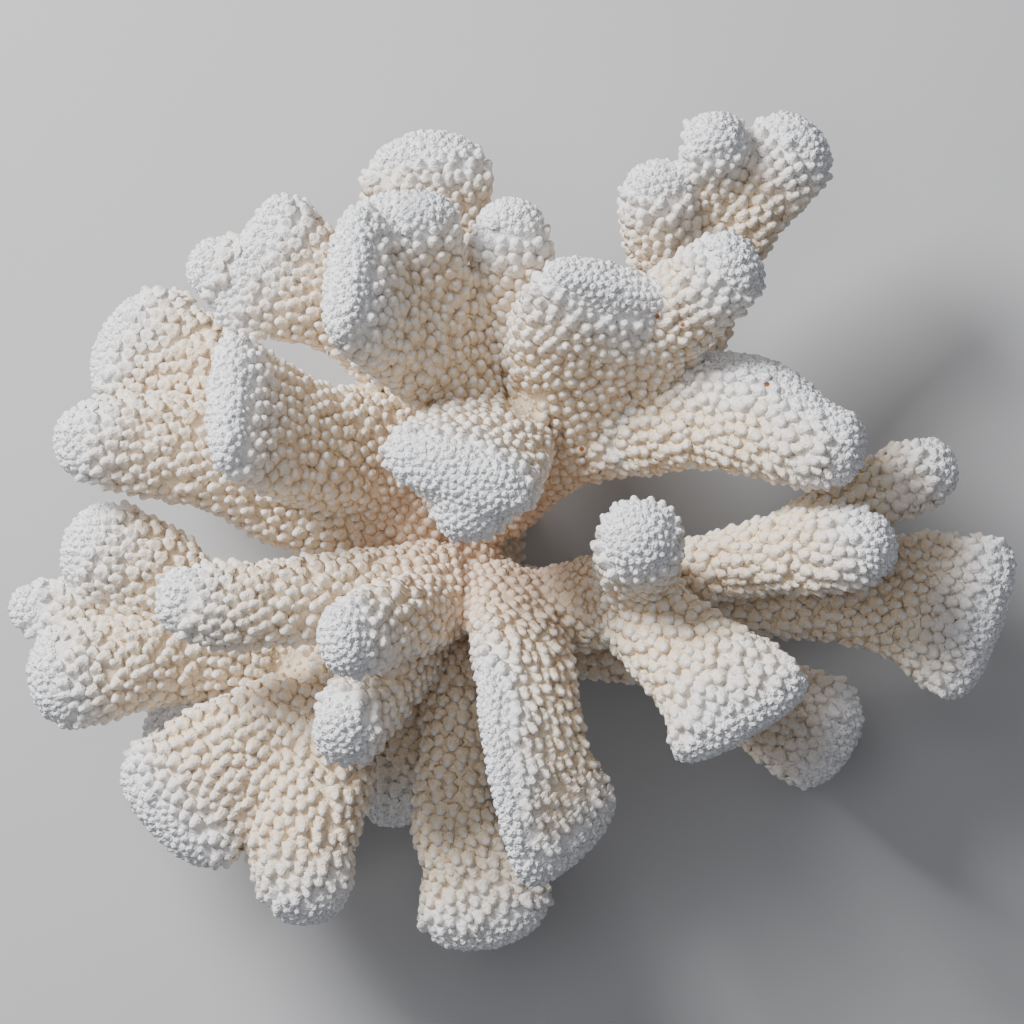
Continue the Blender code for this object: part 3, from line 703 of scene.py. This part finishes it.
def seal(piece):
    """Closes the openings where the piece meets its neighbours and marks those faces as sealed."""
    make_active(piece)
    before = len(piece.data.polygons)
    bpy.ops.object.mode_set(mode="EDIT")
    bpy.ops.mesh.select_all(action="DESELECT")
    bpy.ops.mesh.select_mode(type="EDGE")
    bpy.ops.mesh.select_non_manifold()
    bpy.ops.mesh.fill_holes(sides=0)
    bpy.ops.object.mode_set(mode="OBJECT")
    sealed = piece.data.attributes.new("sealed", "FLOAT", "FACE")
    for i in range(len(piece.data.polygons)):
        sealed.data[i].value = 1.0 if i >= before else 0.0
    bpy.ops.object.shade_smooth()


def make_piece(name, seed):
    """One piece: its skin, closed, covered with warts and given its finish."""
    piece = cut_from_skin(name)
    seal(piece)
    cover = piece.modifiers.new("warts", "NODES")
    cover.node_group = wart_cover()
    cover["Socket_1"] = seed
    apply_modifiers(piece)
    piece.data.materials.clear()
    piece.data.materials.append(coral_finish())
    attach(piece, "root")
    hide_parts(name)
    return piece


class CORAL_OT_parts(bpy.types.Operator):
    """Marks which solid each bit of skin lies on"""

    bl_idname = "coral.parts"
    bl_label = "Sort the skin by solid"

    def execute(self, context):
        skin = bpy.data.objects["coral_skin"]
        owner = skin.data.attributes.new("owner", "INT", "FACE")
        for i, name in enumerate(nearest_nodes(skin)):
            owner.data[i].value = NODE_ORDER.index(name)
        return {"FINISHED"}


def make_group(group, seed):
    for k, name in enumerate(PIECE_GROUPS[group]):
        make_piece(name, seed + k)


class CORAL_OT_foot(bpy.types.Operator):
    """Makes the foot: the trunk with the roots of all limbs"""

    bl_idname = "coral.foot"
    bl_label = "Foot"

    def execute(self, context):
        make_group("foot", 100)
        return {"FINISHED"}


class CORAL_OT_north(bpy.types.Operator):
    """Makes the north fan, blade, lobe, finger and crown ridge"""

    bl_idname = "coral.north"
    bl_label = "North limbs"

    def execute(self, context):
        make_group("north", 200)
        return {"FINISHED"}


class CORAL_OT_east(bpy.types.Operator):
    """Makes the east plate, fingers, fork, fans, arm and low lobe"""

    bl_idname = "coral.east"
    bl_label = "East limbs"

    def execute(self, context):
        make_group("east", 300)
        return {"FINISHED"}


class CORAL_OT_south(bpy.types.Operator):
    """Makes the south fingers, blade, bough, knob and lobes"""

    bl_idname = "coral.south"
    bl_label = "South limbs"

    def execute(self, context):
        make_group("south", 400)
        return {"FINISHED"}


class CORAL_OT_west(bpy.types.Operator):
    """Makes the west boughs and finger"""

    bl_idname = "coral.west"
    bl_label = "West limbs"

    def execute(self, context):
        make_group("west", 500)
        bpy.data.objects.remove(bpy.data.objects["coral_skin"])
        for name in ("side_wart", "under_wart", "ridge_wart", "root_wart"):
            bpy.data.objects.remove(bpy.data.objects[name])
        return {"FINISHED"}


def area_light(name, place, size, power, colour):
    light = bpy.data.lights.new(name, "AREA")
    light.energy = power
    light.size = size
    light.color = colour
    lamp = bpy.data.objects.new(name, light)
    bpy.context.scene.collection.objects.link(lamp)
    lamp.location = place
    lamp.rotation_euler = (Vector((0, 0, 0.06)) - Vector(place)).to_track_quat("-Z", "Y").to_euler()


class CORAL_OT_stage(bpy.types.Operator):
    """Lays the pale floor and sets the soft lights and the camera straight above"""

    bl_idname = "coral.stage"
    bl_label = "Stage"

    def execute(self, context):
        deselect_all()
        bpy.ops.mesh.primitive_plane_add(size=6, location=(0, 0, 0))
        floor = context.object
        floor.name = "floor"
        paint = bpy.data.materials.new("pale_floor")
        paint.use_nodes = True
        paint.node_tree.nodes["Principled BSDF"].inputs["Base Color"].default_value = (0.5, 0.5, 0.51, 1)
        paint.node_tree.nodes["Principled BSDF"].inputs["Roughness"].default_value = 0.9
        floor.data.materials.append(paint)
        world = context.scene.world or bpy.data.worlds.new("soft_world")
        context.scene.world = world
        world.use_nodes = True
        world.node_tree.nodes["Background"].inputs["Color"].default_value = (0.85, 0.9, 1.0, 1)
        world.node_tree.nodes["Background"].inputs["Strength"].default_value = 0.16
        area_light("key_light", (-0.66, 0.66, 0.74), 0.4, 28, (1.0, 1.0, 1.0))
        area_light("fill_light", (-0.2, 0.1, 1.4), 0.8, 4, (0.98, 0.99, 1.0))
        camera = bpy.data.objects.new("camera", bpy.data.cameras.new("camera"))
        context.scene.collection.objects.link(camera)
        camera.location = (*VIEW_CENTRE, VIEW_PLANE_Z + VIEW_DISTANCE)
        camera.data.sensor_width = SENSOR
        camera.data.lens = SENSOR * VIEW_DISTANCE / VIEW_WIDTH
        context.scene.camera = camera
        return {"FINISHED"}


class CORAL_PT_panel(bpy.types.Panel):
    """Shows the coral's settings and a button for each step in the sidebar"""

    bl_label = "Branching coral"
    bl_idname = "CORAL_PT_panel"
    bl_space_type = "VIEW_3D"
    bl_region_type = "UI"
    bl_category = "Coral"

    def draw(self, context):
        for name in CoralSettings.__annotations__:
            self.layout.prop(context.scene.coral, name)
        for step in STEPS:
            self.layout.operator(step.bl_idname)


STEPS = (
    CORAL_OT_skin, CORAL_OT_parts, CORAL_OT_warts, CORAL_OT_foot, CORAL_OT_north, CORAL_OT_east,
    CORAL_OT_south, CORAL_OT_west, CORAL_OT_stage,
)
CLASSES = (CoralSettings, *STEPS, CORAL_PT_panel)


def register():
    for item in CLASSES:
        bpy.utils.register_class(item)
    bpy.types.Scene.coral = bpy.props.PointerProperty(type=CoralSettings)


def unregister():
    del bpy.types.Scene.coral
    for item in reversed(CLASSES):
        bpy.utils.unregister_class(item)


def main():
    register()
    bpy.ops.coral.skin()
    bpy.ops.coral.parts()
    bpy.ops.coral.warts()
    bpy.ops.coral.foot()
    bpy.ops.coral.north()
    bpy.ops.coral.east()
    bpy.ops.coral.south()
    bpy.ops.coral.west()
    bpy.ops.coral.stage()


if __name__ == "__main__":
    main()
